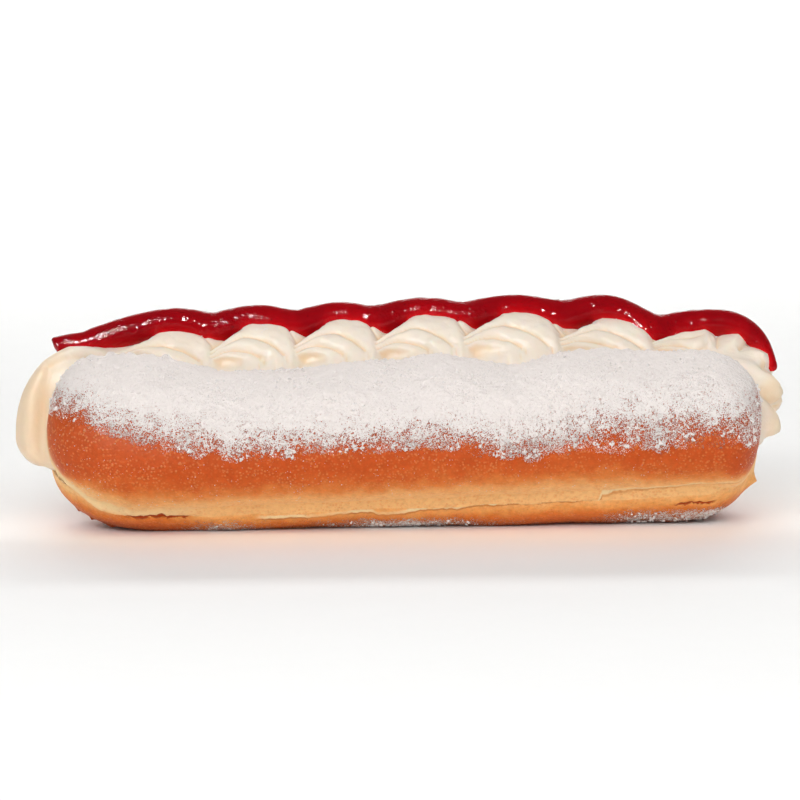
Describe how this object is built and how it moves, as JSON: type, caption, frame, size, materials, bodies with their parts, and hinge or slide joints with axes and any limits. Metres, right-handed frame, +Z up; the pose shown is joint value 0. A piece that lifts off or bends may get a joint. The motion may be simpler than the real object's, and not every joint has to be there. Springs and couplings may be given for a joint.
{
  "type": "cream-filled finger bun",
  "caption": "Long sugar-dusted fried bun, sliced along one side and filled with piped whipped cream under a rope of red jam.",
  "frame": {"origin": "centre of the underside of the bounding box, on the surface it rests on", "axes": "+X along the bun to the viewer's right, +Y away from the sugared front half, +Z up out of the mouth"},
  "size_m": [0.1832, 0.0501, 0.0523],
  "materials": {
    "crust": "matt golden-brown fried dough, pale round the waist, dusted with icing sugar",
    "cream": "soft satin whipped cream",
    "jam": "wet, glossy, deep red, slightly clear"
  },
  "bodies": {
    "root": {"bun": "crust", "cream": "cream", "jam": "jam"}
  },
  "joints": []
}
